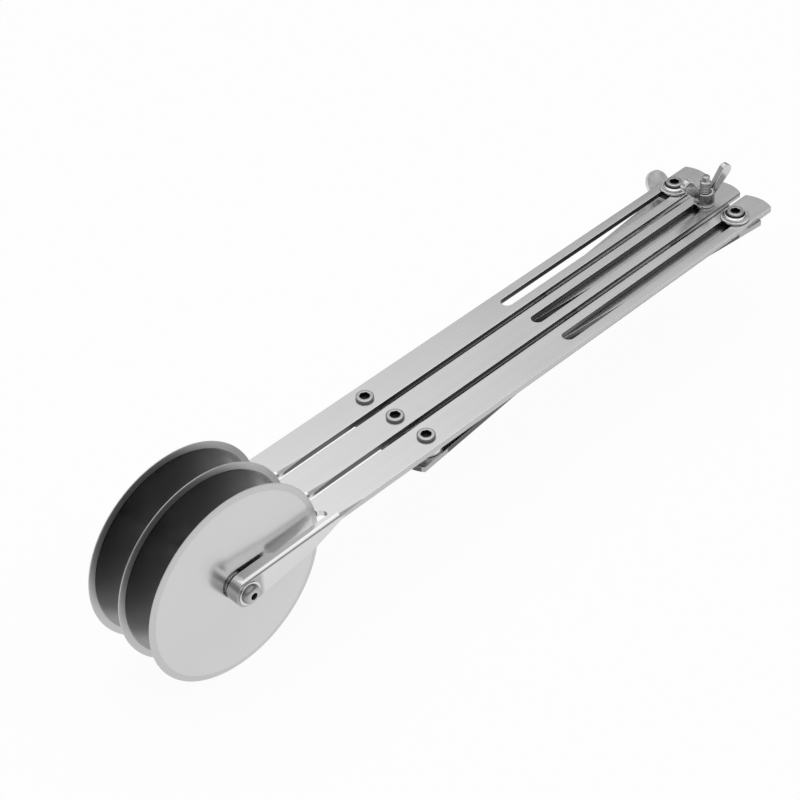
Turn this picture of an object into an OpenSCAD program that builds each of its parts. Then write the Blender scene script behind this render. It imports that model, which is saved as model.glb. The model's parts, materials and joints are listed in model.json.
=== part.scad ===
// Expandable dough cutter: three disc wheels on three slotted bars, spread evenly by crossed links.
// X runs from the wheels to the rear end, Y across the bars, Z up.
// The origin is the point where the middle wheel touches the table. All sizes are in millimetres.

/* [Wheels] */
// Diameter of a cutting wheel
wheel_d = 97; // [80:1:120]
// Thickness of a wheel's disc
wheel_t = 1.5; // [1.2:0.1:2]
// Width of the ground bevel round the rim
bevel_w = 4; // [2:0.5:6]
// Thickness left at the cutting edge
edge_t = 0.4; // [0.2:0.1:0.6]
// Distance between wheels when the cutter is closed
closed_pitch = 20; // [20:0.5:24]

/* [Bars] */
// Width of a bar
bar_w = 16.8; // [15:0.2:17.4]
// Thickness of the sheet that the bars are cut from
bar_t = 3; // [2:0.5:4]
// Clearance between a wheel's rim and the front edge of its bar
rim_clear = 1; // [0.6:0.2:4]
// Distance from the axle line to the front pivots
front_pivot_x = 118; // [100:1:135]
// Distance from the axle line to the front end of the slots
slot_front_x = 214; // [170:1:250]
// Distance from the axle line to the rear pins when the cutter is closed
rear_pin_x = 348; // [320:1:380]
// Length of bar behind the rear pins
bar_tail = 22.4; // [16:0.2:30]
// Radius of the shallow arc that ends a bar or a link
end_arc_r = 16; // [12:1:30]

/* [Arms] */
// Radius of the arm's end round the axle, which also sets the bars' height over the axle
arm_r = 7; // [6:0.5:9]
// Width of the strip that joins an arm to its bar
strip_w = 4.4; // [3.6:0.2:5.4]
// Length of the thick part of the arm behind the axle
arm_boss_l = 16; // [10:1:24]
// Length of the curved step from the thick part down to the flange
arm_step_l = 6; // [3:0.5:10]
// Length of the arm's deep part, from the axle to its heel
heel_l = 39; // [30:1:46]
// Depth of the arm's lower edge below the axle at its heel
heel_drop = 1.8; // [0:0.2:3]
// Length along which the arm's flange follows the bar
flange_l = 6; // [4:1:20]
// Length over which the rounded edge fades out along the bar
fade_l = 16; // [10:1:24]
// Radius of the relief hole in the bend's corner
relief_r = 2.8; // [2:0.2:3.2]
// Depth that the relief hole cuts into the strip
relief_cut = 0.8; // [0.4:0.2:1.2]
// Outside radius of the bend
bend_r = 2.4; // [1.5:0.1:3]

/* [Links] */
// Width of a link
link_w = 16.8; // [14:0.2:17]
// Thickness of a link
link_t = 3; // [2:0.5:4]
// Length of a link beyond its pivots
link_over = 13.8; // [10:0.2:16]
// Gap between pieces that slide on each other
play = 0.3; // [0.2:0.05:0.4]

/* [Pivots and slides] */
// Diameter of the pivot bolts, slide bolts and clamp stud
pin_d = 6; // [5:0.5:6]
// Radial running clearance of a pin in its hole
run_clear = 0.05; // [0.03:0.01:0.08]
// Side clearance of a pin in its slot
slot_clear = 0.2; // [0.1:0.05:0.3]
// Diameter of a pivot bolt's head
pivot_head_d = 8.8; // [8.2:0.2:10]
// Height of a pivot bolt's head
pivot_head_h = 1.7; // [1.2:0.1:3]
// Width across flats of the key socket in the pivot and slide bolts
key_af = 4.6; // [4:0.1:4.8]
// Depth of the key socket in the pivot and slide bolts
key_depth = 2.4; // [1.5:0.1:3]
// Width across flats of the pivot and slide nuts
nut_af = 10; // [9:0.5:11]
// Height of the pivot and slide nuts
nut_h = 3.2; // [2.5:0.1:5]
// Height of a slide bolt's head
slide_head_h = 2.7; // [2:0.1:4]
// Diameter of the washer under a slide bolt
slide_washer_d = 15; // [13:0.5:16.4]
// Thickness of the washers that slide on the bars
slide_washer_t = 1; // [0.6:0.1:1.6]
// Outside diameter of the cup under a slide bolt's head
cup_d = 12.9; // [11:0.1:13]
// Height of the cup's rim
cup_h = 1.8; // [1.2:0.1:2.4]
// Diameter of the spacer on the left front pivot
spacer_d = 15; // [10:0.5:16]
// Diameter of the rivets' heads where the links cross
rivet_head_d = 9; // [8:0.5:11]

/* [Thumb tab] */
// Width of the thumb tab, which has two round ends
tab_w = 15; // [12:0.5:16.5]
// Thickness of the thumb tab's sheet
tab_t = 2; // [1:0.25:2.5]
// Slope of the tab's bent-up end, in degrees over the level
tab_slope = 50; // [30:1:60]
// Length from the bend to the middle of the round tip
tab_l = 2.2; // [1:0.2:6]

/* [Clamp] */
// Diameter of the clamp washer
clamp_washer_d = 11; // [10:0.5:16]
// Diameter of the wing nut's base
hub_d = 10.6; // [9.5:0.1:12]
// Height of the wing nut's hub
hub_h = 6.6; // [5:0.1:8]
// Height of the hub's straight foot
hub_foot = 1.6; // [1:0.1:2.4]
// Taper of the hub's radius above its foot
hub_taper = 0.4; // [0.2:0.1:1.4]
// Reach of a wing from the stud's axis
wing_reach = 16.2; // [13:0.2:18]
// Height of the wing tips over the nut's base
wing_h = 18; // [13:0.5:19]
// Radius of a wing's round tip
wing_tip_r = 3.4; // [2.4:0.1:4]
// Thickness of a wing
wing_t = 3.3; // [1.8:0.1:3.6]
// Turn of the wings away from the bar's length
wing_turn = -11; // [-40:1:40]
// Length of thread that stands out above the wing nut
stud_out = 6; // [2:0.1:7]
// Diameter of the stud's plain tip
tip_d = 4.2; // [3.6:0.1:4.9]
// Length of the stud's plain tip
tip_l = 3.2; // [1.6:0.2:5]
// Height of the stud's hexagon head
stud_head_h = 4; // [3:0.5:5]

/* [Axles] */
// Diameter of the axle bolts
axle_d = 5; // [4:0.5:5]
// Outside diameter of a hub bush
bush_d = 8; // [7:0.5:9]
// Diameter of a hub bush's flange
bush_flange_d = 14; // [11:0.5:18]
// Thickness of a hub bush's flange
bush_flange_t = 1.4; // [1:0.1:1.6]
// Diameter of an axle bolt's round head
axle_head_d = 9.5; // [8.5:0.1:10.5]
// Height of an axle bolt's round head
axle_head_h = 2.6; // [2:0.1:2.8]
// Width across flats of the key socket in an axle bolt
axle_key_af = 3; // [2.5:0.5:3]
// Diameter of the washers on an axle bolt
axle_washer_d = 11.6; // [10:0.2:13]
// Thickness of the washers on an axle bolt
axle_washer_t = 0.75; // [0.5:0.05:0.8]
// Width across flats of an axle nut
axle_nut_af = 8; // [7:0.5:9]
// Height of an axle nut
axle_nut_h = 3; // [2.4:0.1:3.2]

/* [Hidden] */
round_fn = 96;
nut_fn = 6;
hull_fn = 32;
cut = 1;
hair = 0.02;

// The three lanes across the cutter: right, middle and left as its user holds it
right = closed_pitch;
middle = 0;
left = -closed_pitch;

// Heights over the table, from the bars' top down through the two layers of links
axle_z = wheel_d/2;
bar_top = axle_z + arm_r;
bar_bottom = bar_top - bar_t;
upper_top = bar_bottom - play;
upper_bottom = upper_top - link_t;
lower_top = upper_bottom - play;
lower_bottom = lower_top - link_t;

// The bar's outline
bar_front_x = sqrt(pow(wheel_d/2, 2) - pow(arm_r - bar_t, 2)) + rim_clear;
bar_rear_x = rear_pin_x + bar_tail;
flange_end_x = bar_front_x + flange_l;
slot_w = pin_d + 2*slot_clear;
relief_y = -bar_w/2 + strip_w + relief_r - relief_cut;

// The closed linkage: each link runs from a front pivot to the rear pin of the next lane
link_run = rear_pin_x - front_pivot_x;
link_l = norm([link_run, closed_pitch]);
link_angle = atan2(closed_pitch, link_run);

// Stations along an axle, from the wheel's middle: minus is towards the arm's outer side
disc_face = wheel_t/2;
arm_face = -disc_face - play - axle_washer_t;
nut_seat = disc_face + bush_flange_t + play/2 + axle_washer_t;
thread_past_nut = 0.6;
socket_share = 0.6;
corner_bevel = 0.5;
wing_sunk = 1.8;

function across_corners(af) = af/cos(30);

// Pieces of stock and standard parts

module tube(outer, inner, h) {
    difference() {
        cylinder(d = outer, h = h, $fn = round_fn);
        translate([0, 0, -cut]) cylinder(d = inner, h = h + 2*cut, $fn = round_fn);
    }
}

module hexagon_nut(af, bore, h) {
    difference() {
        intersection() {
            cylinder(d = across_corners(af), h = h, $fn = nut_fn);
            // chamfered corners: the nut is turned down to a cone at both ends
            rotate_extrude($fn = round_fn)
                polygon([[0, 0], [af/2, 0], [af/2 + corner_bevel, corner_bevel],
                    [af/2 + corner_bevel, h - corner_bevel], [af/2, h], [0, h]]);
        }
        translate([0, 0, -cut]) cylinder(d = bore, h = h + 2*cut, $fn = round_fn);
    }
}

// A low round head with a bevelled top edge, its seat at z = 0
module socket_head(d, h, bevel) {
    rotate_extrude($fn = round_fn) polygon([[0, 0], [d/2, 0], [d/2, h - bevel], [d/2 - bevel, h], [0, h]]);
}

// The hole for the key, from the top of a head down
module key_socket(top, af, depth) {
    translate([0, 0, top - depth]) cylinder(d = across_corners(af), h = depth + cut, $fn = nut_fn);
}

// A strip with square front corners, or an arc at both ends, and an arc at its rear
module strip_outline(x0, x1, w, both_ends) {
    intersection() {
        translate([x0, -w/2]) square([x1 - x0, w]);
        union() {
            front = both_ends ? x0 + end_arc_r : x0;
            translate([front, -w/2]) square([x1 - end_arc_r - front, w]);
            translate([x1 - end_arc_r, 0]) circle(r = end_arc_r, $fn = round_fn);
            if (both_ends) translate([front, 0]) circle(r = end_arc_r, $fn = round_fn);
        }
    }
}

// Bars and their arms

module bar_plan() {
    difference() {
        union() {
            strip_outline(bar_front_x, bar_rear_x, bar_w, false);
            // the narrow strip that carries on beside the wheel as the top of the arm
            translate([0, -bar_w/2]) square([bar_front_x + cut, strip_w]);
        }
        translate([front_pivot_x, 0]) circle(d = pin_d + 2*run_clear, $fn = round_fn);
        translate([bar_front_x, relief_y]) circle(r = relief_r, $fn = round_fn);
        translate([slot_front_x + slot_w/2, -slot_w/2])
            square([rear_pin_x + 2*play - slot_front_x - slot_w/2, slot_w]);
        for (x = [slot_front_x + slot_w/2, rear_pin_x + 2*play])
            translate([x, 0]) circle(d = slot_w, $fn = round_fn);
    }
}

// Side view of the arm, round the axle at the origin, with x to the rear and y up
module arm_side() {
    heel = [heel_l, -heel_drop];
    // the lower edge starts a hair inside the round end, so that it crosses it cleanly
    start_r = arm_r - hair;
    turn = atan2(heel[1], heel[0]) - acos(start_r/norm(heel));
    circle(r = arm_r, $fn = round_fn);
    polygon([[start_r*cos(turn), start_r*sin(turn)], heel, [flange_end_x, arm_r - bar_t],
        [flange_end_x, arm_r], [0, arm_r], [0, 0]]);
}

module arm_prism(y0, y1) {
    translate([0, y1, 0]) rotate([90, 0, 0]) linear_extrude(y1 - y0) arm_side();
}

// Plan of the thick end: half a cosine wave leads from its inner face back to the flange
module boss_plan() {
    flange_y = -bar_w/2 + bar_t;
    step = [for (share = [0:1/16:1])
        [arm_boss_l + share*arm_step_l, arm_face - (arm_face - flange_y)*(1 - cos(180*share))/2]];
    polygon(concat([[-2*arm_r, -bar_w/2], [-2*arm_r, arm_face]], step, [[arm_boss_l + arm_step_l, -bar_w/2]]));
}

// Cross-section of the strip and the flange bent down from it, with a rounded outer edge
module flange_section() {
    intersection() {
        rounded_corner();
        union() {
            translate([-bar_w/2, arm_r - bar_t]) square([strip_w, bar_t]);
            translate([-bar_w/2, -2*arm_r]) square([bar_t, 3*arm_r]);
        }
    }
}

// All that lies within the rounded outer edge
module rounded_corner() {
    translate([-bar_w/2 + bend_r, -2*arm_r]) square([strip_w - bend_r, 3*arm_r]);
    translate([-bar_w/2, -2*arm_r]) square([strip_w, 3*arm_r - bend_r]);
    translate([-bar_w/2 + bend_r, arm_r - bend_r]) circle(r = bend_r, $fn = round_fn);
}

// Behind the flange a flat cut, which gets shallower to the rear, lets the rounded edge fade out
module fading_cut() {
    depth = bend_r*(sqrt(2) - 1);
    translate([flange_end_x, -bar_w/2, arm_r]) rotate([45, 0, 0]) translate([0, 0, -depth])
        rotate([0, -atan2(depth, fade_l), 0]) translate([0, -bar_w/2, 0]) cube([2*fade_l, bar_w, bar_w]);
}

module bar(lane) {
    color("silver") translate([0, lane, axle_z]) difference() {
        union() {
            // the flat of the bar, behind the wheel
            difference() {
                translate([0, 0, arm_r - bar_t]) linear_extrude(bar_t) difference() {
                    bar_plan();
                    translate([-2*arm_r, -bar_w]) square([flange_end_x + 2*arm_r, bar_w/2 + bend_r]);
                }
                fading_cut();
            }
            // the bent flange, cut to the arm's side view
            intersection() {
                arm_prism(-bar_w/2, -bar_w/2 + strip_w);
                translate([-2*arm_r, 0, 0]) rotate([90, 0, 90])
                    linear_extrude(flange_end_x + 2*arm_r) flange_section();
            }
            // the thick end round the axle
            intersection() {
                translate([0, 0, -2*arm_r]) linear_extrude(3*arm_r) boss_plan();
                arm_prism(-bar_w/2 + bend_r, arm_face);
            }
        }
        rotate([90, 0, 0]) translate([0, 0, -bar_w])
            cylinder(d = axle_d + 2*run_clear, h = 2*bar_w, $fn = round_fn);
    }
}

// Wheels, turned about Y

module on_axle(lane, y) {
    translate([0, lane + y, axle_z]) rotate([-90, 0, 0]) children();
}

module wheel(lane) {
    r = wheel_d/2;
    color("gainsboro") on_axle(lane, -wheel_t/2) rotate_extrude($fn = 2*round_fn)
        polygon([[bush_d/2, 0], [r - bevel_w, 0], [r, (wheel_t - edge_t)/2], [r, (wheel_t + edge_t)/2],
            [r - bevel_w, wheel_t], [bush_d/2, wheel_t]]);
}

module hub_bush(lane) {
    color("darkgray") on_axle(lane, -wheel_t/2) difference() {
        union() {
            cylinder(d = bush_d, h = wheel_t, $fn = round_fn);
            translate([0, 0, wheel_t]) cylinder(d = bush_flange_d, h = bush_flange_t, $fn = round_fn);
        }
        translate([0, 0, -cut])
            cylinder(d = axle_d + 2*run_clear, h = wheel_t + bush_flange_t + 2*cut, $fn = round_fn);
    }
}

module axle_bolt(lane) {
    seat = -bar_w/2 - axle_washer_t;
    color("gray") on_axle(lane, seat) {
        cylinder(d = axle_d, h = nut_seat + axle_nut_h + thread_past_nut - seat, $fn = round_fn);
        rotate([180, 0, 0]) difference() {
            rotate_extrude($fn = round_fn)
                polygon(concat([[0, 0], [axle_head_d/2, 0]], [for (a = [0:10:90])
                    [axle_head_d/2 - (1 - cos(a))*axle_head_h, 0.3 + sin(a)*(axle_head_h - 0.3)]],
                    [[0, axle_head_h]]));
            translate([0, 0, axle_head_h*(1 - socket_share)])
                cylinder(d = across_corners(axle_key_af), h = axle_head_h, $fn = nut_fn);
        }
    }
}

module head_washer(lane) {
    color("lightgray") on_axle(lane, -bar_w/2 - axle_washer_t)
        tube(axle_washer_d, axle_d + 2*run_clear, axle_washer_t);
}

module hub_washer(lane) {
    color("lightgray") on_axle(lane, arm_face)
        tube(axle_washer_d, axle_d + 2*run_clear, axle_washer_t);
}

module nut_washer(lane) {
    color("lightgray") on_axle(lane, nut_seat - axle_washer_t)
        tube(axle_washer_d, axle_d + 2*run_clear, axle_washer_t);
}

module axle_nut(lane) {
    color("gray") on_axle(lane, nut_seat) hexagon_nut(axle_nut_af, axle_d + 2*run_clear, axle_nut_h);
}

// Links, each laid from a front pivot towards a rear pin

module link(lane, sense, top, stud_hole, rivet_seat) {
    color("silver") translate([front_pivot_x, lane, top - link_t]) rotate([0, 0, sense*link_angle])
        difference() {
            linear_extrude(link_t) strip_outline(-link_over, link_l + link_over, link_w, true);
            for (x = [0, link_l/2]) translate([x, 0, -cut])
                cylinder(d = pin_d + 2*run_clear, h = link_t + 2*cut, $fn = round_fn);
            translate([link_l, 0, -cut])
                cylinder(d = pin_d + 2*stud_hole, h = link_t + 2*cut, $fn = round_fn);
            if (rivet_seat) translate([link_l/2, 0, link_t/2])
                cylinder(d = rivet_head_d + 2*slot_clear, h = link_t, $fn = round_fn);
        }
}

// A rivet holds two links where they cross: its flat head lies level with the upper link's top
module cross_rivet(lane) {
    head_z = upper_top - link_t/2 + play/2;
    color("gray") translate([front_pivot_x + link_run/2, lane, 0]) {
        translate([0, 0, lower_bottom]) cylinder(d = pin_d, h = head_z - lower_bottom, $fn = round_fn);
        translate([0, 0, head_z]) cylinder(d = rivet_head_d, h = upper_top - head_z, $fn = round_fn);
        translate([0, 0, lower_bottom]) rotate([180, 0, 0]) rotate_extrude($fn = round_fn)
            polygon([for (a = [0:15:90]) [rivet_head_d/2*cos(a), link_t/2*sin(a)], [0, 0]]);
    }
}

module pivot_bolt(lane, clamped) {
    end = clamped - play - nut_h - thread_past_nut;
    color("gray") translate([front_pivot_x, lane, 0]) difference() {
        union() {
            translate([0, 0, end]) cylinder(d = pin_d, h = bar_top - end, $fn = round_fn);
            translate([0, 0, bar_top]) socket_head(pivot_head_d, pivot_head_h, corner_bevel);
        }
        key_socket(bar_top + pivot_head_h, key_af, key_depth);
    }
}

module pivot_nut(lane, clamped) {
    color("gray") translate([front_pivot_x, lane, clamped - play - nut_h])
        hexagon_nut(nut_af, pin_d + 2*run_clear, nut_h);
}

module pivot_spacer(lane) {
    color("lightgray") translate([front_pivot_x, lane, lower_top + play])
        tube(spacer_d, pin_d + 2*run_clear, bar_bottom - lower_top - play);
}

// Slide bolts, which run in the slots of the outer bars

slide_seat = bar_top + play + slide_washer_t;
cup_floor_t = cup_h/3;

module slide_bolt(lane, clamped) {
    end = clamped - nut_h - thread_past_nut;
    head_z = slide_seat + cup_floor_t;
    color("gray") translate([rear_pin_x, lane, 0]) difference() {
        union() {
            translate([0, 0, end]) cylinder(d = pin_d, h = head_z - end, $fn = round_fn);
            translate([0, 0, head_z]) socket_head(pivot_head_d, slide_head_h, corner_bevel);
        }
        key_socket(head_z + slide_head_h, key_af, key_depth);
    }
}

module slide_washer(lane) {
    color("lightgray") translate([rear_pin_x, lane, bar_top + play])
        tube(slide_washer_d, pin_d + 2*run_clear, slide_washer_t);
}

module slide_cup(lane) {
    well_d = (cup_d + pivot_head_d)/2;
    color("lightgray") translate([rear_pin_x, lane, slide_seat]) difference() {
        tube(cup_d, pin_d + 2*run_clear, cup_h);
        translate([0, 0, cup_floor_t]) cylinder(d = well_d, h = cup_h, $fn = round_fn);
    }
}

module slide_nut(lane, clamped) {
    color("gray") translate([rear_pin_x, lane, clamped - nut_h])
        hexagon_nut(nut_af, pin_d + 2*run_clear, nut_h);
}

// The thumb tab turns on the right slide bolt, under the bar, and its bent-up end runs along the bar's edge
module thumb_tab() {
    bend_y = bar_w/2 + play;
    color("silver") translate([rear_pin_x, right, upper_top]) difference() {
        union() {
            translate([0, 0, -tab_t]) linear_extrude(tab_t) {
                circle(d = tab_w, $fn = round_fn);
                translate([-tab_w/2, 0]) square([tab_w, bend_y]);
            }
            // a boss fills the rest of the layer
            translate([0, 0, -link_t]) cylinder(d = tab_w, h = link_t, $fn = round_fn);
            translate([0, bend_y, 0]) {
                // the outside of the bend
                translate([-tab_w/2, 0, 0]) rotate([90, 0, 90]) linear_extrude(tab_w) intersection() {
                    circle(r = tab_t, $fn = round_fn);
                    polygon(2*tab_t*[[0, 0], [0, -1], [sin(tab_slope), -cos(tab_slope)]]);
                }
                // the bent-up end
                rotate([tab_slope, 0, 0]) translate([0, 0, -tab_t]) linear_extrude(tab_t) {
                    translate([-tab_w/2, 0]) square([tab_w, tab_l]);
                    intersection() {
                        translate([0, tab_l]) circle(d = tab_w, $fn = round_fn);
                        translate([-tab_w, 0]) square(2*tab_w);
                    }
                }
            }
        }
        translate([0, 0, -link_t - cut]) cylinder(d = pin_d + 2*run_clear, h = link_t + 2*cut, $fn = round_fn);
    }
}

// The clamp on the middle bar

nut_base = bar_top + play + slide_washer_t;
thread_end = nut_base + hub_h + stud_out;

module clamp_stud() {
    head_z = lower_bottom - play - stud_head_h;
    color("gray") translate([rear_pin_x, middle, 0]) {
        translate([0, 0, head_z]) cylinder(d = across_corners(nut_af), h = stud_head_h, $fn = nut_fn);
        translate([0, 0, head_z]) cylinder(d = pin_d, h = thread_end - head_z, $fn = round_fn);
        translate([0, 0, thread_end]) cylinder(d = tip_d, h = tip_l, $fn = round_fn);
    }
}

module clamp_washer() {
    color("lightgray") translate([rear_pin_x, middle, bar_top + play])
        tube(clamp_washer_d, pin_d + 2*run_clear, slide_washer_t);
}

module wing_nut() {
    tip_x = wing_reach - wing_tip_r;
    color("gainsboro") translate([rear_pin_x, middle, nut_base]) difference() {
        union() {
            rotate_extrude($fn = round_fn) polygon([[0, 0], [hub_d/2, 0], [hub_d/2, hub_foot],
                [hub_d/2 - hub_taper, hub_h], [0, hub_h]]);
            for (side = [0, 180]) rotate([90, 0, wing_turn + side]) translate([0, 0, -wing_t/2])
                linear_extrude(wing_t) hull() {
                    translate([tip_x, wing_h - wing_tip_r]) circle(r = wing_tip_r, $fn = hull_fn);
                    translate([hub_d/2 - wing_sunk, hub_foot/2]) square([wing_sunk/2, hub_h - hub_foot]);
                }
        }
        translate([0, 0, -cut]) cylinder(d = pin_d + 2*run_clear, h = 2*wing_h, $fn = round_fn);
    }
}

bar(right);  // right_bar
bar(middle);  // middle_bar
bar(left);  // left_bar
wheel(right);  // right_wheel
wheel(middle);  // middle_wheel
wheel(left);  // left_wheel
hub_bush(right);  // right_hub_bush
hub_bush(middle);  // middle_hub_bush
hub_bush(left);  // left_hub_bush
axle_bolt(right);  // right_axle_bolt
axle_bolt(middle);  // middle_axle_bolt
axle_bolt(left);  // left_axle_bolt
head_washer(right);  // right_head_washer
head_washer(middle);  // middle_head_washer
head_washer(left);  // left_head_washer
hub_washer(right);  // right_hub_washer
hub_washer(middle);  // middle_hub_washer
hub_washer(left);  // left_hub_washer
nut_washer(right);  // right_nut_washer
nut_washer(middle);  // middle_nut_washer
nut_washer(left);  // left_nut_washer
axle_nut(right);  // right_axle_nut
axle_nut(middle);  // middle_axle_nut
axle_nut(left);  // left_axle_nut
pivot_bolt(right, upper_bottom);  // right_pivot_bolt
pivot_bolt(middle, lower_bottom);  // middle_pivot_bolt
pivot_bolt(left, lower_bottom);  // left_pivot_bolt
pivot_nut(right, upper_bottom);  // right_pivot_nut
pivot_nut(middle, lower_bottom);  // middle_pivot_nut
pivot_nut(left, lower_bottom);  // left_pivot_nut
pivot_spacer(left);  // left_pivot_spacer
link(right, -1, upper_top, run_clear, true);  // right_front_link
link(middle, 1, lower_top, run_clear, false);  // right_rear_link
link(left, 1, lower_top, 2*run_clear, false);  // left_front_link
link(middle, -1, upper_top, run_clear, true);  // left_rear_link
cross_rivet(right/2);  // right_cross_rivet
cross_rivet(left/2);  // left_cross_rivet
slide_bolt(right, lower_bottom);  // right_slide_bolt
slide_bolt(left, upper_bottom);  // left_slide_bolt
slide_washer(right);  // right_slide_washer
slide_washer(left);  // left_slide_washer
slide_cup(right);  // right_slide_cup
slide_cup(left);  // left_slide_cup
slide_nut(right, lower_bottom);  // right_slide_nut
slide_nut(left, upper_bottom);  // left_slide_nut
thumb_tab();
clamp_stud();
clamp_washer();
wing_nut();
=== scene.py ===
import bpy
import bmesh
import json
import numpy as np
from math import cos, pi, radians, sin
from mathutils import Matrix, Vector

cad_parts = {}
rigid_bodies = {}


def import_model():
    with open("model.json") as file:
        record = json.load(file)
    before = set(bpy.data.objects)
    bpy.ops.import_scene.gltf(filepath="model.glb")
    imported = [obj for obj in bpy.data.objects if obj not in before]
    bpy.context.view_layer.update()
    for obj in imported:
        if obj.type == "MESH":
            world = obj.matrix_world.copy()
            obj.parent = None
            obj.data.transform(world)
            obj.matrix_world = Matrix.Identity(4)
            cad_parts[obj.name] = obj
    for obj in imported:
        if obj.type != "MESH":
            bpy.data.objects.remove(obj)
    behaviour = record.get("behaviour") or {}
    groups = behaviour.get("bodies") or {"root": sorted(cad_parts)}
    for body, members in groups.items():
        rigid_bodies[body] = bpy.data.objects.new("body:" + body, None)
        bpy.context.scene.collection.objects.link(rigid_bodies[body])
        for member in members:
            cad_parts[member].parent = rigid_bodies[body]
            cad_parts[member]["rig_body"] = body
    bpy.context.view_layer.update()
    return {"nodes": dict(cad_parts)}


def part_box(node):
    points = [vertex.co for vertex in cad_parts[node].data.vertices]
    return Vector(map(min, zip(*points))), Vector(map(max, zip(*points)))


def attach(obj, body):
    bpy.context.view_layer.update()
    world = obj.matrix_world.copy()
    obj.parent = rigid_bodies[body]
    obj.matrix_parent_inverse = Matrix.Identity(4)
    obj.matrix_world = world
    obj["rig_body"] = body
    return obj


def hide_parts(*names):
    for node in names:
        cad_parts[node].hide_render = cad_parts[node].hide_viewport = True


# Expandable dough cutter, dressed over its frame. Metres, X to the rear, Y to the right wheel, Z up.
# The sizes of turned pieces and of the wing nut are in millimetres.
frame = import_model()
mm = 0.001
lanes = ("right", "middle", "left")
wheelRadius = (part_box("middle_wheel")[1][2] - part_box("middle_wheel")[0][2]) / 2
armEnd = 56 * mm
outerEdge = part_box("right_bar")[1][1]
print("frame loaded:", len(frame["nodes"]), "nodes")


# Node trees: a Socket adds Math nodes when it meets an operator

class Socket:
    def __init__(self, tree, link):
        self.tree = tree
        self.link = link

    def __add__(self, other): return self.tree.maths("ADD", self, other)
    def __radd__(self, other): return self.tree.maths("ADD", other, self)
    def __sub__(self, other): return self.tree.maths("SUBTRACT", self, other)
    def __rsub__(self, other): return self.tree.maths("SUBTRACT", other, self)
    def __mul__(self, other): return self.tree.maths("MULTIPLY", self, other)
    def __rmul__(self, other): return self.tree.maths("MULTIPLY", other, self)
    def __abs__(self): return self.tree.maths("ABSOLUTE", self)

    def clamp(self, low, high):
        return self.tree.maths("MINIMUM", self.tree.maths("MAXIMUM", self, low), high)


class Tree:
    def __init__(self, owner):
        owner.use_nodes = True
        self.nodes = owner.node_tree.nodes
        self.links = owner.node_tree.links
        self.nodes.clear()

    def add(self, kind, settings=None, inputs=None, out=0):
        node = self.nodes.new(kind)
        for name, value in (settings or {}).items():
            setattr(node, name, value)
        for name, value in (inputs or {}).items():
            if isinstance(value, Socket):
                self.links.new(value.link, node.inputs[name])
            else:
                node.inputs[name].default_value = value
        return Socket(self, node.outputs[out]) if node.outputs else None

    def maths(self, operation, *values):
        return self.add("ShaderNodeMath", {"operation": operation}, dict(enumerate(values)))

    def vectors(self, operation, *values, out="Vector"):
        return self.add("ShaderNodeVectorMath", {"operation": operation}, dict(enumerate(values)), out)

    def coordinate(self, kind, axis=None):
        whole = self.add("ShaderNodeTexCoord", out=kind)
        return self.part(whole, axis) if axis else whole

    def part(self, vector, axis):
        return self.add("ShaderNodeSeparateXYZ", None, {"Vector": vector}, axis)

    def fromAxis(self, place, axis, across):
        # distance from an axis, measured in the two directions across it
        offset = self.vectors("SUBTRACT", place, axis)
        return self.vectors("LENGTH", self.vectors("MULTIPLY", offset, across), out="Value")

    def noise(self, place, scale, detail, stretch=(1, 1, 1), rough=0.5):
        return self.add("ShaderNodeTexNoise", {"noise_dimensions": "3D"},
                        {"Vector": self.vectors("MULTIPLY", place, stretch), "Scale": scale, "Detail": detail,
                         "Roughness": rough})

    def ramp(self, value, span, levels, ease="SMOOTHSTEP"):
        # goes from the first level to the second while the value crosses the span
        return self.add("ShaderNodeMapRange", {"interpolation_type": ease},
                        {"Value": value, "From Min": span[0], "From Max": span[1], "To Min": levels[0],
                         "To Max": levels[1]})

    def grey(self, value):
        return self.add("ShaderNodeCombineColor", None, {"Red": value, "Green": value, "Blue": value})

    def output(self, kind, surface):
        self.add(kind, None, {"Surface": surface})


# Metals: each is a steel with its own polish, grain and wear, and some carry painted shade

metals = {}
shadePainting = {"paintedShadeDark": 0.93, "paintedShadeRough": 0.3, "gapShadeFacing": 0.5, "shadeRange": (0.01, 1.3), "roughRange": (0.03, 1)}
noiseMiddle = 0.5


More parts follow.
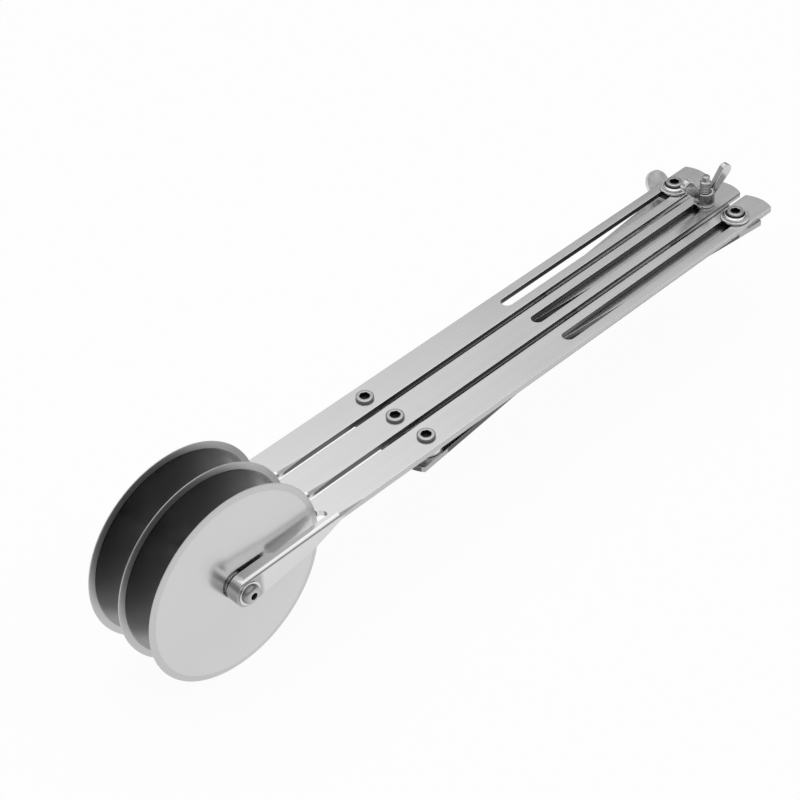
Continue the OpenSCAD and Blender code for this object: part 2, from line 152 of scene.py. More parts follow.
def steel(name, look, pattern):
    # a pattern gives the grain, a slow change of tone, and where the metal is dull; on the bars' walls that also
    # holds painted shade between the bars
    material = bpy.data.materials.new(name)
    tree = Tree(material)
    place = tree.coordinate("Object")
    grain, tone, dullAndShade = pattern(tree, place)
    smudge = tree.noise(place, look["smudgeScale"], detail=3)
    # painted shade, read from a point attribute: it darkens key sockets, the seats under heads, thread grooves and
    # the wells of cups, and roughens them
    paintedShade = tree.add("ShaderNodeAttribute", {"attribute_name": "paintedShade"}, out="Fac")
    shade = 1 + look["toneDepth"] * (tone - noiseMiddle) + look["smudgeDepth"] * (smudge - noiseMiddle)
    shade = shade * (1 - look["dullAndShadeDark"] * dullAndShade) * (1 - shadePainting["paintedShadeDark"] * paintedShade)
    if "gapShade" in look:
        # painted shade: the faces that look into the gaps between the wheels are darkened, up to the bevel
        across = tree.coordinate("Normal", "Y")
        right, left = look["gapShade"]
        gapShade = (tree.maths("GREATER_THAN", across, shadePainting["gapShadeFacing"]) * right
                + tree.maths("LESS_THAN", across, -shadePainting["gapShadeFacing"]) * left)
        shade = shade * (1 - gapShade * (1 - dullAndShade))
    rough = (look["rough"] + look["roughDepth"] * (grain - noiseMiddle) + look["smudgeRough"] * (smudge - noiseMiddle)
             + look["dullRough"] * dullAndShade + shadePainting["paintedShadeRough"] * paintedShade)
    colour = tree.add("ShaderNodeMix", {"data_type": "RGBA", "blend_type": "MULTIPLY"},
                      {0: 1.0, 6: (*look["colour"], 1), 7: tree.grey(shade.clamp(*shadePainting["shadeRange"]))}, out=2)
    bump = tree.add("ShaderNodeBump", None,
                    {"Strength": look["bump"], "Distance": look["bumpHeight"], "Height": grain})
    tree.output("ShaderNodeOutputMaterial", tree.add("ShaderNodeBsdfPrincipled", None, {
        "Base Color": colour, "Roughness": rough.clamp(*shadePainting["roughRange"]), "Normal": bump, "Metallic": 1.0}))
    metals[name] = material


barLook = {"colour": (0.70, 0.70, 0.705), "rough": 0.24, "roughDepth": 0.16, "toneDepth": 0.10, "dullAndShadeDark": 0.8,
           "dullRough": 0.15, "smudgeScale": 28, "smudgeDepth": 0.10, "smudgeRough": 0.08, "bump": 0.08,
           "bumpHeight": 0.00001}
linkLook = dict(barLook, colour=(0.56, 0.56, 0.565), rough=0.26, toneDepth=0.16, smudgeDepth=0.14)
wheelLook = {"colour": (0.63, 0.63, 0.635), "rough": 0.22, "roughDepth": 0.03, "toneDepth": 0.05, "dullAndShadeDark": 0.04,
             "dullRough": 0.22, "smudgeScale": 40, "smudgeDepth": 0.05, "smudgeRough": 0.03, "bump": 0.02,
             "bumpHeight": 0.0000004}
fastenerLook = {"colour": (0.52, 0.52, 0.525), "rough": 0.22, "roughDepth": 0.12, "toneDepth": 0.12, "dullAndShadeDark": 0.5,
                "dullRough": 0.1, "smudgeScale": 300, "smudgeDepth": 0.15, "smudgeRough": 0.12, "bump": 0.3,
                "bumpHeight": 0.00004}
boltLook = dict(fastenerLook, colour=(0.50, 0.50, 0.505), rough=0.18)
washerLook = dict(fastenerLook, colour=(0.70, 0.70, 0.705), rough=0.18)
axleLook = dict(fastenerLook, colour=(0.50, 0.50, 0.505), rough=0.24)
studLook = dict(fastenerLook, colour=(0.48, 0.48, 0.485), rough=0.20)
wingLook = dict(fastenerLook, colour=(0.60, 0.60, 0.60), rough=0.15, dullAndShadeDark=0.50, smudgeScale=220,
                bumpHeight=0.00006)
tabLook = dict(fastenerLook, colour=(0.80, 0.80, 0.805), rough=0.46, toneDepth=0.40, smudgeScale=260,
               smudgeDepth=0.30, bump=0.35, bumpHeight=0.00008)

# What each pattern is made of. The slopes say how sharply one finish gives way to another, per metre
brushed = {"fine": 900, "fineStretch": (0.012, 1, 1), "broad": 160, "broadStretch": (0.02, 1, 1), "broadShare": 0.3,
           "noseEnd": 9 * mm, "noseSlope": 200, "noseDull": 0.5, "armSlope": 400, "edgeDepth": 0.4 * mm,
           "edgeSlope": 8000, "outerGapShade": 0.3, "wallTop": 1.25, "wallSlope": 1.6}
rings = {"fine": 420, "patches": 22, "patchShare": 0.25, "dullWidth": 3.2 * mm, "dullSlope": 8000}
machining = {"grain": 1400, "tone": 420}
forging = {"grain": 700, "rough": 0.6, "tone": 260, "stud": (0.348, 0, 0), "hub": 5.4 * mm, "hubSlope": 1200}


def uprightWalls(tree):
    # 1 on walls that stand upright, 0 on level faces
    level = tree.coordinate("Normal", "Z")
    return (brushed["wallTop"] - brushed["wallSlope"] * abs(level)).clamp(0, 1)


def brushedAlong(tree, place):
    # fine lines along X: noise that is stretched along the bar. The sheared walls are darkened, partly as dull cut
    # steel and partly as painted shade of the gaps between the bars, so the two outermost walls get less of it; of
    # the arm, which is rolled sheet that was bent down, only its nose is dull
    fine = tree.noise(place, brushed["fine"], detail=3, stretch=brushed["fineStretch"])
    broad = tree.noise(place, brushed["broad"], detail=2, stretch=brushed["broadStretch"])
    along, side = tree.part(place, "X"), tree.part(place, "Y")
    nose = ((brushed["noseEnd"] - along) * brushed["noseSlope"]).clamp(0, brushed["noseDull"])
    behindArm = ((along - armEnd) * brushed["armSlope"]).clamp(0, 1) + nose
    inside = outerEdge - brushed["edgeDepth"] - abs(side)
    barGapShade = (inside * brushed["edgeSlope"]).clamp(brushed["outerGapShade"], 1)
    grain = fine * (1 - brushed["broadShare"]) + broad * brushed["broadShare"]
    return grain, broad, uprightWalls(tree) * tree.maths("MAXIMUM", behindArm * barGapShade, nose)


def turnedRings(tree, place):
    # fine rings about the axle: noise of the distance from it, with a little unevenness round the disc.
    # The ground bevel at the rim is dull
    reach = tree.fromAxis(place, (0, 0, wheelRadius), (1, 0, 1))
    fine = tree.noise(tree.add("ShaderNodeCombineXYZ", None, {"X": reach}), rings["fine"], detail=3)
    patches = tree.noise(place, rings["patches"], detail=3)
    dullAndShade = ((reach - (wheelRadius - rings["dullWidth"])) * rings["dullSlope"]).clamp(0, 1)
    return fine * (1 - rings["patchShare"]) + patches * rings["patchShare"], patches, dullAndShade


def machined(tree, place):
    return tree.noise(place, machining["grain"], detail=3), tree.noise(place, machining["tone"], detail=2), 0.0


def headed(tree, place):
    # a bolt's turned sides are duller than its ends
    return (*machined(tree, place)[:2], uprightWalls(tree))


def forged(tree, place):
    grain = tree.noise(place, forging["grain"], detail=4, rough=forging["rough"])
    return grain, tree.noise(place, forging["tone"], detail=2), 0.0


def forgedHub(tree, place):
    # the hub is dull, the wings, farther from the stud's axis, are bright
    reach = tree.fromAxis(place, forging["stud"], (1, 1, 0))
    near = (1 - (reach - forging["hub"]) * forging["hubSlope"]).clamp(0, 1)
    return (*forged(tree, place)[:2], near * uprightWalls(tree))


steel("barSteel", barLook, brushedAlong)
steel("linkSteel", linkLook, brushedAlong)
# each wheel gets its own copy, with painted shade on the faces that look into the gaps between the wheels; the two
# outer faces get none
for lane, gapShade in zip(lanes, ((0, 0.52), (0.52, 0.52), (0.52, 0))):
    steel(lane + "WheelSteel", dict(wheelLook, gapShade=gapShade), turnedRings)
steel("fastenerSteel", fastenerLook, machined)
steel("boltSteel", boltLook, headed)
steel("axleSteel", axleLook, machined)
steel("washerSteel", washerLook, machined)
steel("studSteel", studLook, machined)
steel("wingSteel", wingLook, forgedHub)
steel("tabSteel", tabLook, forged)
print("metals made:", len(metals))


# Pieces: points on a grid, rows by columns, joined round the columns and merged where they meet

def gridPiece(name, points, material, paintedShade=None, mergeReach=1e-7, smoothAngle=40):
    rows, columns = points.shape[:2]
    row, column = np.meshgrid(np.arange(rows - 1), np.arange(columns), indexing="ij")
    beside = (column + 1) % columns
    corners = (row * columns + column, row * columns + beside,
               (row + 1) * columns + beside, (row + 1) * columns + column)
    mesh = bpy.data.meshes.new(name)
    mesh.from_pydata(points.reshape(-1, 3).tolist(), [], np.stack(corners, -1).reshape(-1, 4).tolist())
    # a point attribute of painted shade, which the metals read to darken the colour
    if paintedShade is not None:
        layer = mesh.attributes.new("paintedShade", "FLOAT", "POINT")
        layer.data.foreach_set("value", paintedShade.ravel().astype(np.float32))
    tidy = bmesh.new()
    tidy.from_mesh(mesh)
    bmesh.ops.remove_doubles(tidy, verts=tidy.verts, dist=mergeReach)
    bmesh.ops.dissolve_degenerate(tidy, edges=tidy.edges, dist=mergeReach)
    bmesh.ops.recalc_face_normals(tidy, faces=tidy.faces)
    tidy.to_mesh(mesh)
    tidy.free()
    mesh.shade_smooth()
    mesh.set_sharp_from_angle(angle=radians(smoothAngle))
    return placed(name, mesh, material)


def placed(name, mesh, material):
    mesh.materials.append(material)
    piece = bpy.data.objects.new(name, mesh)
    bpy.context.scene.collection.objects.link(piece)
    return piece


def filled(profile):
    # rows of a profile in full: radius, height, share of hexagon, slope of a chamfer on the hexagon's corners,
    # share of a screw thread cut into it, and painted shade
    return np.array([tuple(row) + (0,) * (6 - len(row)) for row in profile], float)


def softCorners(corners, reach, steps=4, mostOfSide=0.45):
    # each inner corner of a profile becomes a short curve between two points set back along its sides
    points = filled(corners)
    legs = np.diff(points, axis=0)
    length = np.linalg.norm(legs[:, :2], axis=1)
    back = np.minimum(reach, mostOfSide * length)
    start = points[1:-1] - legs[:-1] * (back / length)[:-1, None]
    end = points[1:-1] + legs[1:] * (back / length)[1:, None]
    t = np.linspace(0, 1, steps)[None, :, None]
    curve = (1 - t) ** 2 * start[:, None] + 2 * t * (1 - t) * points[1:-1, None] + t ** 2 * end[:, None]
    return np.vstack([points[:1], curve.reshape(-1, points.shape[1]), points[-1:]])


def hexagon(angle, sharp=44):
    # radius of a hexagon with rounded corners over its half width: its three pairs of flats, blended by a power
    flats = np.abs(np.cos(angle[:, None] - np.arange(3) * pi / 3)) ** sharp
    return flats.sum(axis=1) ** (-1 / sharp)


threadSizes = {"pitch": 1.0, "depth": 0.5, "paintedShade": 2}


def turned(name, profile, material, centre, axis="Z", columns=96):
    # a profile swept round an axis
    angle = np.linspace(0, 2 * pi, columns, endpoint=False)
    corner = hexagon(angle) - 1
    radius, height, hexShare, slope, thread, paintedShade = np.split(filled(profile), 6, axis=1)
    # the thread is a triangle wave that winds along the piece
    wave = np.abs((height / threadSizes["pitch"] - angle / (2 * pi)) % 1 * 2 - 1)
    groove = wave * thread * threadSizes["depth"]
    across = radius * (1 + hexShare * corner) - groove
    along = height - slope * radius * corner
    if axis == "Z":
        parts = (across * np.cos(angle), across * np.sin(angle), along)
    else:
        parts = (across * np.cos(angle), along, across * np.sin(angle))
    # painted shade fills the thread's grooves, more where they are deeper
    paintedShade = np.clip(paintedShade + threadSizes["paintedShade"] * groove, 0, 1)
    return gridPiece(name, np.stack(parts, -1) * mm + np.array(centre), material, paintedShade)


def dress(piece, node):
    # a piece stands for its node, rides with it and keeps its finish
    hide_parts(node)
    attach(piece, frame["nodes"][node]["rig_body"])


def middle(node):
    # centre of a node's box in metres, and half its size in millimetres
    low, high = [np.array(corner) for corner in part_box(node)]
    return (low + high) / 2, (high - low) / 2 / mm


fineColumns = 144
arcSteps = 12


def dressTurned(node, profile, soft, metal, axis="Z", columns=96, steps=4):
    # the node's turned piece, about the middle of its box, with its profile's corners softened
    dress(turned(node + "Turned", softCorners(profile, soft, steps), metals[metal], middle(node)[0], axis, columns),
          node)


def ring(bore, radius, half):
    return [(bore, 0), (bore, half), (radius, half), (radius, -half), (bore, -half), (bore, 0)]


def keySocket(sizes, paintedShade, start, inwards):
    # a hexagonal key socket, from its mouth down to the point that its drill left, with painted shade from its mouth
    # that is full from its floor down
    key, floor = sizes["key"], start + inwards * sizes["keyDepth"]
    return [(key + sizes["keyMouth"], start), (key, start + inwards * sizes["mouthDepth"], 1, 0, 0, paintedShade["mouth"]),
            (key, floor, 1, 0, 0, 1), (sizes["drill"], floor + inwards * sizes["drillDepth"], 1, 0, 0, 1),
            (0, floor + inwards * sizes["drillEnd"], 0, 0, 0, 1)]


nutSizes = {"axle_nut": 8, "pivot_nut": 10, "slide_nut": 10, "countersink": 0.35, "countersinkDepth": 0.25,
            "rim": 0.95, "flatHeight": 0.9, "fall": 0.6, "soft": 0.12}


def hexagonNut(node, bore, axis="Z"):
    # flats with chamfered corners; each corner's chamfer runs lower than the flats beside it
    size = middle(node)[1]
    half = size[2] if axis == "Z" else size[1]
    flat = nutSizes[node.split("_", 1)[1]] / 2
    low, rim, fall = half * nutSizes["flatHeight"], flat * nutSizes["rim"], nutSizes["fall"]
    mouth, sunk = bore + nutSizes["countersink"], half - nutSizes["countersinkDepth"]
    profile = [(bore, 0), (bore, sunk), (mouth, half), (rim, half), (flat, low, 1, fall), (flat, -low, 1, -fall),
               (rim, -half), (mouth, -half), (bore, -sunk), (bore, 0)]
    dressTurned(node, profile, nutSizes["soft"], "fastenerSteel", axis, fineColumns, steps=3)


softSizes = {"merge": 1e-6, "flatAngle": 0.5, "sharpAngle": 28, "behindArm": 15 * mm, "steps": 2, "flatWeight": 100}


def softened(node, edge, material, armSide=None):
    # a copy of the frame's solid, merged to flat faces, whose sharp edges get a small round. The arm of a bar
    # has its own rounded edge, so edges that start in the arm are kept, apart from those on the side given
    source = bmesh.new()
    source.from_mesh(frame["nodes"][node].data)
    bmesh.ops.remove_doubles(source, verts=source.verts, dist=softSizes["merge"])
    bmesh.ops.dissolve_limit(source, angle_limit=radians(softSizes["flatAngle"]), verts=source.verts,
                             edges=source.edges)
    sharp = np.array([line.calc_face_angle(0) > radians(softSizes["sharpAngle"]) for line in source.edges])
    ends = np.array([[tuple(point.co) for point in line.verts] for line in source.edges])
    rounded = sharp.copy()
    if armSide is not None:
        behind = ends[:, :, 0].min(axis=1) > armEnd + softSizes["behindArm"]
        rounded &= behind | (ends[:, :, 1].min(axis=1) > armSide)
    mesh = bpy.data.meshes.new(node + "Soft")
    source.to_mesh(mesh)
    source.free()
    mesh.materials.clear()
    mesh.shade_smooth()
    mesh.attributes.new("bevel_weight_edge", "FLOAT", "EDGE").data.foreach_set("value", rounded.astype(np.float32))
    mesh.attributes.new("sharp_edge", "BOOLEAN", "EDGE").data.foreach_set("value", sharp & ~rounded)
    piece = placed(node + "Soft", mesh, material)
    bevel = piece.modifiers.new("edges", "BEVEL")
    bevel.width = edge
    bevel.segments = softSizes["steps"]
    bevel.limit_method = "WEIGHT"
    bevel.use_clamp_overlap = node == "thumb_tab"    # the tab's short edges at its bend leave no more room
    weights = piece.modifiers.new("flats", "WEIGHTED_NORMAL")
    weights.mode = "FACE_AREA"
    weights.weight = softSizes["flatWeight"]
    weights.keep_sharp = True
    dress(piece, node)


# Bars, links and tab: sheet steel with edges that were tumbled a little

sheetEdges = {"bar": 0.25 * mm, "link": 0.25 * mm, "tab": 0.3 * mm, "armSide": 5 * mm}
for lane in lanes:
    armSide = middle(lane + "_bar")[0][1] + sheetEdges["armSide"]
    softened(lane + "_bar", sheetEdges["bar"], metals["barSteel"], armSide)
for link in ("right_front_link", "right_rear_link", "left_front_link", "left_rear_link"):
    softened(link, sheetEdges["link"], metals["linkSteel"])
softened("thumb_tab", sheetEdges["tab"], metals["tabSteel"])
print("bars, links and tab dressed")


# Wheels and what is on their axles, turned about Y

wheelSizes = {"bore": 4.02, "bevel": 3.5, "blade": 0.2, "soft": 0.3, "columns": 256}
bushSizes = {"bore": 2.55, "bush": 3.98, "soft": 0.15}
axleSizes = {"shaft": 2.48, "head": 2.6, "headEdge": 0.1, "arc": 1.25, "roundness": 0.6, "tip": 0.4, "key": 1.6,
             "keyMouth": 0.3, "keyDepth": 2.0, "mouthDepth": 0.15, "drill": 0.3, "drillDepth": 0.3, "drillEnd": 0.35,
             "soft": 0.08, "washerSoft": 0.12}
# painted shade round the foot of the head, at its seat and in the socket's mouth
axleShade = {"head": 0.6, "seat": 0.7, "mouth": 0.7}


def axleBolt(node):
    # the button head is a part of an ellipse with a socket for a key, and looks to -Y
    size = middle(node)[1]
    half, radius, shaft, tip = size[1], size[0], axleSizes["shaft"], axleSizes["tip"]
    seat = axleSizes["head"] - half
    arc = np.linspace(0, axleSizes["arc"], arcSteps)
    none = 0 * arc
    head = np.stack([radius * np.cos(arc) ** axleSizes["roundness"],
                     seat - axleSizes["head"] * np.sin(arc) / sin(axleSizes["arc"]), none, none, none,
                     axleShade["head"] * np.cos(arc) ** 2], -1)
    profile = [(0, half), (shaft - tip, half), (shaft, half - tip), (shaft, seat),
               (radius - axleSizes["headEdge"], seat, 0, 0, 0, axleShade["seat"]), *head.tolist(),
               *keySocket(axleSizes, axleShade, -half, 1)]
    dressTurned(node, profile, axleSizes["soft"], "axleSteel", "Y", fineColumns, steps=3)


for lane in lanes:
    node = lane + "_wheel"
    size = middle(node)[1]
    wheelHalf, radius, bore, blade = size[1], size[0], wheelSizes["bore"], wheelSizes["blade"]
    inner = radius - wheelSizes["bevel"]
    profile = [(bore, 0), (bore, wheelHalf), (inner, wheelHalf), (radius, blade), (radius, -blade),
               (inner, -wheelHalf), (bore, -wheelHalf), (bore, 0)]
    dressTurned(node, profile, wheelSizes["soft"], lane + "WheelSteel", "Y", wheelSizes["columns"])

    # the bush's flange lies on the wheel's right face
    node = lane + "_hub_bush"
    size = middle(node)[1]
    half, radius, bore, bush = size[1], size[0], bushSizes["bore"], bushSizes["bush"]
    step = 2 * wheelHalf - half
    profile = [(bore, 0), (bore, half), (radius, half), (radius, step), (bush, step), (bush, -half), (bore, -half),
               (bore, 0)]
    dressTurned(node, profile, bushSizes["soft"], "fastenerSteel", "Y")

    axleBolt(lane + "_axle_bolt")
    hexagonNut(lane + "_axle_nut", bushSizes["bore"], "Y")
    for part in ("_head_washer", "_hub_washer", "_nut_washer"):
        size = middle(lane + part)[1]
        dressTurned(lane + part, ring(bushSizes["bore"], size[0], size[1]), axleSizes["washerSoft"], "washerSteel",
                    "Y")
print("wheels and axles dressed")


# Bolts, nuts and washers on upright pins

pinSizes = {"shaft": 2.98, "bore": 3.05, "tip": 0.5, "headEdge": 0.45, "key": 2.3, "keyMouth": 0.276, "keyDepth": 2.4,
            "mouthDepth": 0.25, "drill": 0.4, "drillDepth": 0.3, "drillEnd": 0.35, "pivotHead": 1.7, "slideHead": 2.7,
            "soft": 0.14, "washerSoft": 0.2}
# painted shade at the seat under the head and in the socket's mouth
pinShade = {"seat": 0.6, "mouth": 0.8}


def pinBolt(node, headHeight):
    size = middle(node)[1]
    half, radius, shaft, tip = size[2], size[0], pinSizes["shaft"], pinSizes["tip"]
    seat, edge = half - headHeight, pinSizes["headEdge"]
    profile = [(0, -half), (shaft - tip, -half), (shaft, tip - half), (shaft, seat),
               (radius, seat, 0, 0, 0, pinShade["seat"]), (radius, half - edge), (radius - edge, half),
               *keySocket(pinSizes, pinShade, half, -1)]
    dressTurned(node, profile, pinSizes["soft"], "boltSteel", columns=fineColumns)


for lane in lanes:
    pinBolt(lane + "_pivot_bolt", pinSizes["pivotHead"])
    hexagonNut(lane + "_pivot_nut", pinSizes["bore"])
for lane in ("right", "left"):
    pinBolt(lane + "_slide_bolt", pinSizes["slideHead"])
    hexagonNut(lane + "_slide_nut", pinSizes["bore"])
for node in ("right_slide_washer", "left_slide_washer", "clamp_washer", "left_pivot_spacer"):
    size = middle(node)[1]
    dressTurned(node, ring(pinSizes["bore"], size[0], size[2]), pinSizes["washerSoft"], "washerSteel")

# the cup washer has a raised rim round a flat well
cupSizes = {"well": 4.85, "floor": 0.6, "rim": 0.4, "crown": 0.8, "crownFall": 0.15, "side": 0.9, "start": 0.3,
            "soft": 0.35}
# painted shade on the well's floor and, less, on its wall
cupShade = {"floor": 0.9, "wall": 0.5}
for node in ("right_slide_cup", "left_slide_cup"):
    size = middle(node)[1]
    half, outer, bore, well, rim = size[2], size[0], pinSizes["bore"], cupSizes["well"], cupSizes["rim"]
    floor = cupSizes["floor"] - half
    start = floor - cupSizes["start"]
    profile = [(bore, start), (bore, floor, 0, 0, 0, cupShade["floor"]),
               (well, floor, 0, 0, 0, cupShade["floor"]), (well, half - rim, 0, 0, 0, cupShade["wall"]),
               (well + rim, half), (outer - cupSizes["crown"], half - cupSizes["crownFall"]),
               (outer, half - cupSizes["side"]), (outer, -half), (bore, -half), (bore, start)]
    dressTurned(node, profile, cupSizes["soft"], "washerSteel", steps=5)

# the cross rivets have a flat head above and a domed one below
rivetSizes = {"shaft": 2.98, "head": 4.5, "dome": 1.5, "flat": 1.35, "neck": 0.01, "soft": 0.15}
for node in ("right_cross_rivet", "left_cross_rivet"):
    half = middle(node)[1][2]
    head, shaft, flat = rivetSizes["head"], rivetSizes["shaft"], half - rivetSizes["flat"]
    arc = np.linspace(0, pi / 2, arcSteps)
    dome = np.stack([head * np.sin(arc), rivetSizes["dome"] * (1 - np.cos(arc)) - half], -1)
    under = rivetSizes["dome"] - half
    profile = [*dome.tolist(), (shaft, under + rivetSizes["neck"]), (shaft, flat), (head, flat), (head, half),
               (0, half)]
    dressTurned(node, profile, rivetSizes["soft"], "boltSteel", steps=3)
print("pins dressed")


# Clamp: a threaded stud with a plain tip, and a forged wing nut

studSizes = {"flat": 5.0, "rim": 0.95, "headHeight": 4.0, "headChamfer": 0.4, "headFall": 0.6, "seatChamfer": 0.2,
             "seatFall": 0.3, "headSoft": 0.15, "neck": 0.01, "shaft": 2.98, "threadLength": 13.0, "threadEnd": 0.5,
             "threadRows": 160, "runOut": 0.8, "runOutStart": 0.2, "shoulder": 0.4, "tip": 2.1, "tipHeight": 3.2,
             "tipFoot": 0.3, "tipRise": 0.2, "tipChamfer": 0.5, "tipPoint": 0.6, "tipSoft": 0.2, "columns": 120}
centre, size = middle("clamp_stud")
half, shaft, flat, tip = size[2], studSizes["shaft"], studSizes["flat"], studSizes["tip"]
rim, seat, shoulder = flat * studSizes["rim"], studSizes["headHeight"] - half, half - studSizes["tipHeight"]
lower = [(0, -half), (rim, -half), (flat, studSizes["headChamfer"] - half, 1, -studSizes["headFall"]),
         (flat, seat - studSizes["seatChamfer"], 1, studSizes["seatFall"]), (rim, seat),
         (shaft, seat + studSizes["neck"])]
upper = [(shaft, shoulder - studSizes["shoulder"]), (tip + studSizes["tipFoot"], shoulder),
         (tip, shoulder + studSizes["tipRise"]), (tip, half - studSizes["tipChamfer"]),
         (tip - studSizes["tipPoint"], half), (0, half)]
# the thread runs out over a short way at both ends
height = np.linspace(shoulder - studSizes["threadLength"], shoulder - studSizes["threadEnd"], studSizes["threadRows"])
inside = np.minimum(height - height[0], height[-1] - height + studSizes["runOutStart"])
none = 0 * height
thread = np.stack([shaft + none, height, none, none, np.minimum(1, inside / studSizes["runOut"]), none], -1)
profile = np.vstack([softCorners(lower, studSizes["headSoft"], 3), thread, softCorners(upper, studSizes["tipSoft"])])
dress(turned("clampStudTurned", profile, metals["studSteel"], centre, columns=studSizes["columns"]), "clamp_stud")

wingSizes = {"hub": 5.3, "hubTop": 4.9, "hubHeight": 6.6, "hubSoft": 0.5, "chamfer": 0.4, "start": 2, "foot": 1.6,
             "reach": 16.2, "height": 18.0, "tip": 3.4, "thickness": 3.3, "turn": -11.0, "root": 1.9,
             "rootAlong": 3.6, "rootUp": 2.9, "flatness": 6, "outline": 120, "rows": 45, "touches": 360,
             "voxel": 0.16 * mm, "fillet": 0.5, "filletPasses": 5}


def wingShape(side):
    # distance from the wing's middle to its outline is that to the nearest line which just touches its two
    # rounds; its thickness follows a power curve that stays flat and then rounds over at the outline
    tip, power = wingSizes["tip"], 1 / wingSizes["flatness"]
    rounds = np.array([(wingSizes["reach"] - tip, wingSizes["height"] - tip, tip),
                       (wingSizes["rootAlong"], wingSizes["rootUp"], wingSizes["root"])])
    heart = rounds[:, :2].mean(axis=0)
    facing = np.linspace(0, 2 * pi, wingSizes["touches"], endpoint=False)
    touch = np.stack([np.cos(facing), np.sin(facing)], -1)
    support = (rounds[:, :2] @ touch.T + rounds[:, 2:]).max(axis=0) - heart @ touch.T
    around = np.linspace(0, 2 * pi, wingSizes["outline"], endpoint=False)
    ray = np.stack([np.cos(around), np.sin(around)], -1)
    reach = (support / np.maximum(ray @ touch.T, 1e-6)).min(axis=1)
    over = np.linspace(0, pi, wingSizes["rows"])[:, None]
    spread = np.abs(np.sin(over)) ** power
    depth = np.sign(np.cos(over)) * np.abs(np.cos(over)) ** power * wingSizes["thickness"] / 2
    along = heart[0] + spread * reach * ray[:, 0]
    up = heart[1] + spread * reach * ray[:, 1]
    lean = radians(wingSizes["turn"]) + side
    return np.stack([along * cos(lean) - depth * sin(lean), along * sin(lean) + depth * cos(lean), up], -1)


foot = middle("wing_nut")[0]
foot[2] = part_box("wing_nut")[0][2]
bore, hub, top, chamfer = pinSizes["bore"], wingSizes["hub"], wingSizes["hubHeight"], wingSizes["chamfer"]
hubProfile = softCorners([(bore, wingSizes["start"]), (bore, 0), (hub, 0), (hub, wingSizes["foot"]),
                          (wingSizes["hubTop"], top), (bore + chamfer, top), (bore, top - chamfer),
                          (bore, wingSizes["start"])], wingSizes["hubSoft"], 5)
hubPiece = turned("wingNutForged", hubProfile, metals["wingSteel"], foot)
wings = [gridPiece("wing", wingShape(side) * mm + foot, metals["wingSteel"]) for side in (0, pi)]
joined = bmesh.new()
for piece in (hubPiece, *wings):
    joined.from_mesh(piece.data)
joined.to_mesh(hubPiece.data)
joined.free()
for piece in wings:
    bpy.data.objects.remove(piece)
cast = hubPiece.modifiers.new("oneCasting", "REMESH")
cast.mode = "VOXEL"
cast.voxel_size = wingSizes["voxel"]
cast.use_smooth_shade = True
fillet = hubPiece.modifiers.new("fillets", "SMOOTH")
fillet.factor = wingSizes["fillet"]
fillet.iterations = wingSizes["filletPasses"]
dress(hubPiece, "wing_nut")
print("clamp dressed")


# Camera: fitted to the wheel rims, pivots, slots and corners of the photograph

view = {"place": (-0.37476, -0.51907, 0.67575), "turn": (49.5226, 2.0779, -45.4927), "focusPixels": 2043.85,
        "photoPixels": 800, "sensor": 36, "farClip": 20}
lens = bpy.data.cameras.new("viewLens")
lens.sensor_width = view["sensor"]
lens.lens = view["focusPixels"] / view["photoPixels"] * view["sensor"]
lens.clip_end = view["farClip"]
camera = bpy.data.objects.new("viewCamera", lens)
camera.location = view["place"]
camera.rotation_euler = [radians(a) for a in view["turn"]]
bpy.context.scene.collection.objects.link(camera)
bpy.context.scene.camera = camera


# Floor: pale paper that the camera and reflections see as glowing, so that it meets the white horizon

paper = {"size": 8.0, "colour": 0.93, "rough": 0.9, "gloss": 0.1, "fibre": 240, "fibreDepth": 0.03, "glow": 0.94}
floorPoints = np.array([(-1, -1, 0), (1, -1, 0), (1, 1, 0), (-1, 1, 0)], float) * paper["size"] / 2
floorMaterial = bpy.data.materials.new("floorPaper")
tree = Tree(floorMaterial)
seen = tree.add("ShaderNodeLightPath", out="Is Camera Ray")
for kind in ("Is Glossy Ray", "Is Transmission Ray"):
    seen = tree.maths("MAXIMUM", seen, tree.add("ShaderNodeLightPath", out=kind))
fibre = tree.noise(tree.coordinate("Object"), paper["fibre"], detail=3)
tint = (1 - paper["fibreDepth"] / 2 + paper["fibreDepth"] * fibre) * paper["colour"]
matt = tree.add("ShaderNodeBsdfPrincipled", None, {"Base Color": tree.grey(tint), "Roughness": paper["rough"],
                                                   "Specular IOR Level": paper["gloss"]})
glow = tree.add("ShaderNodeEmission", None, {"Color": (1, 1, 1, 1), "Strength": 1.0})
tree.output("ShaderNodeOutputMaterial", tree.add("ShaderNodeMixShader", None,
                                                 {0: seen * paper["glow"], 1: matt, 2: glow}))
floorMesh = bpy.data.meshes.new("paperFloor")
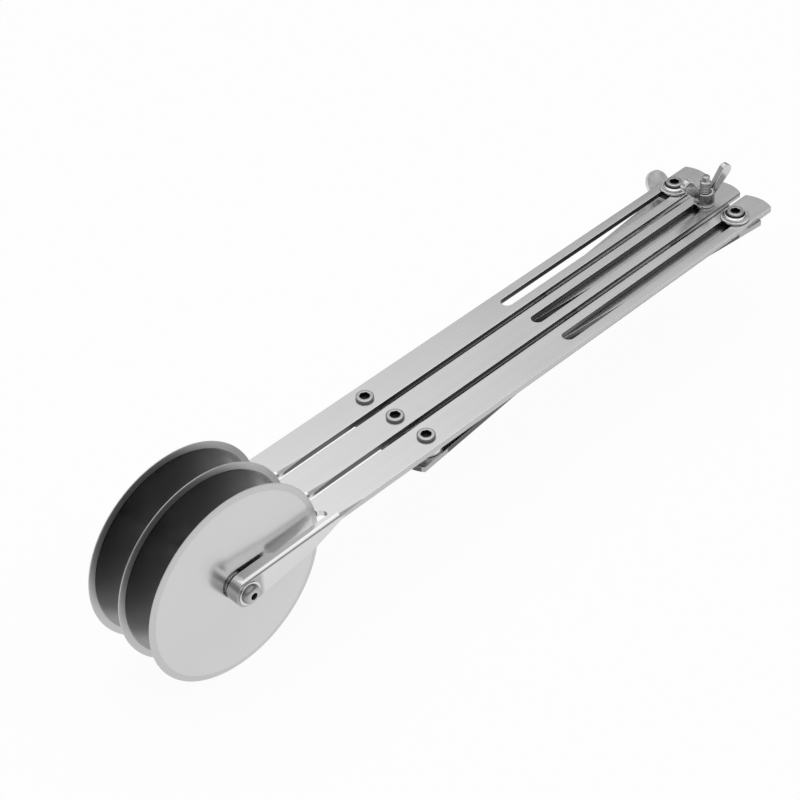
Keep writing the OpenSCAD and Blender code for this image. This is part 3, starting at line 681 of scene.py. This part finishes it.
floorMesh.from_pydata(floorPoints.tolist(), [], [(0, 1, 2, 3)])
placed("paperFloor", floorMesh, floorMaterial)


# Sky: white at the horizon, brightest half way up, darker on one side and overhead, with a fill on the dark side.
# Spans are heights, or how far a direction looks to a side; levels are brightness

sky = {"horizonSpan": (0.04, 0.12), "horizonLevels": (1.0, 0.0), "riseSpan": (0.54, 0.72), "riseLevels": (0.30, 1.25),
       "topSpan": (0.84, 0.97), "topLevels": (1.0, 0.4), "darkSide": (-0.7, 0.7, 0), "darkSpan": (0.15, 0.6),
       "darkLevels": (1.0, 0.7), "fillSide": (-0.77, 0.64, 0), "fillSpan": (0.35, 0.8), "fillLevels": (0.0, 0.25)}
world = bpy.data.worlds.new("softSky")
bpy.context.scene.world = world
tree = Tree(world)
heading = tree.coordinate("Generated")
up = tree.part(heading, "Z")
rise = tree.ramp(up, sky["riseSpan"], sky["riseLevels"])
overhead = tree.ramp(up, sky["topSpan"], sky["topLevels"])
horizon = tree.ramp(up, sky["horizonSpan"], sky["horizonLevels"], "LINEAR")
dark, fill = [tree.ramp(tree.vectors("DOT_PRODUCT", heading, sky[part + "Side"], out="Value"),
                        sky[part + "Span"], sky[part + "Levels"]) for part in ("dark", "fill")]
strength = tree.maths("MAXIMUM", horizon, rise * dark * overhead + fill)
tree.output("ShaderNodeOutputWorld", tree.add("ShaderNodeBackground", None,
                                              {"Color": (1, 1, 1, 1), "Strength": strength}))

lamp = {"place": (0.1, 0.1, 1.6), "aim": (0.15, 0, 0), "size": (1.6, 1.4), "power": 4}
light = bpy.data.lights.new("overheadLamp", "AREA")
light.shape = "RECTANGLE"
light.size, light.size_y = lamp["size"]
light.energy = lamp["power"]
softLamp = bpy.data.objects.new("overheadLamp", light)
softLamp.location = lamp["place"]
softLamp.rotation_euler = (Vector(lamp["aim"]) - Vector(lamp["place"])).to_track_quat("-Z", "Y").to_euler()
bpy.context.scene.collection.objects.link(softLamp)
print("stage lit")

bpy.context.scene.view_settings.view_transform = "Standard"
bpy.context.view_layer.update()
